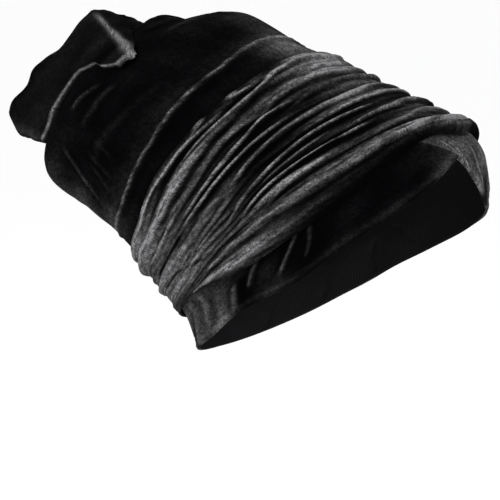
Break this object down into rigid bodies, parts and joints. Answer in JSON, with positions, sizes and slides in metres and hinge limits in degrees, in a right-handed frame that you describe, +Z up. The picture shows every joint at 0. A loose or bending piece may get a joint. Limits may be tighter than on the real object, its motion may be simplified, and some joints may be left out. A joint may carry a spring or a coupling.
{
  "type": "turban headwrap",
  "caption": "Black stretch-velvet turban headwrap: tall crown bag leaning back, pleated wound sash, cap band crossing at the forehead, squared top tuck.",
  "frame": {"origin": "middle of the head opening at ear level, where the wrap sits on a head", "axes": "+Z up, the forehead faces -Y, the wearer's right is -X"},
  "size_m": [0.1954, 0.3781, 0.2373],
  "materials": {
    "velvet_nap_dark": "soft velvet pile, matt with a grazing sheen",
    "velvet_nap_light": "brushed velvet pile lying the other way, so it shows grey"
  },
  "bodies": {
    "root": {"band_right": "velvet_nap_dark", "band_left": "velvet_nap_dark", "crown_bag": "velvet_nap_dark", "sash_lower_turn": "velvet_nap_light", "sash_upper_turn": "velvet_nap_light", "top_tuck": "velvet_nap_dark"}
  },
  "joints": []
}
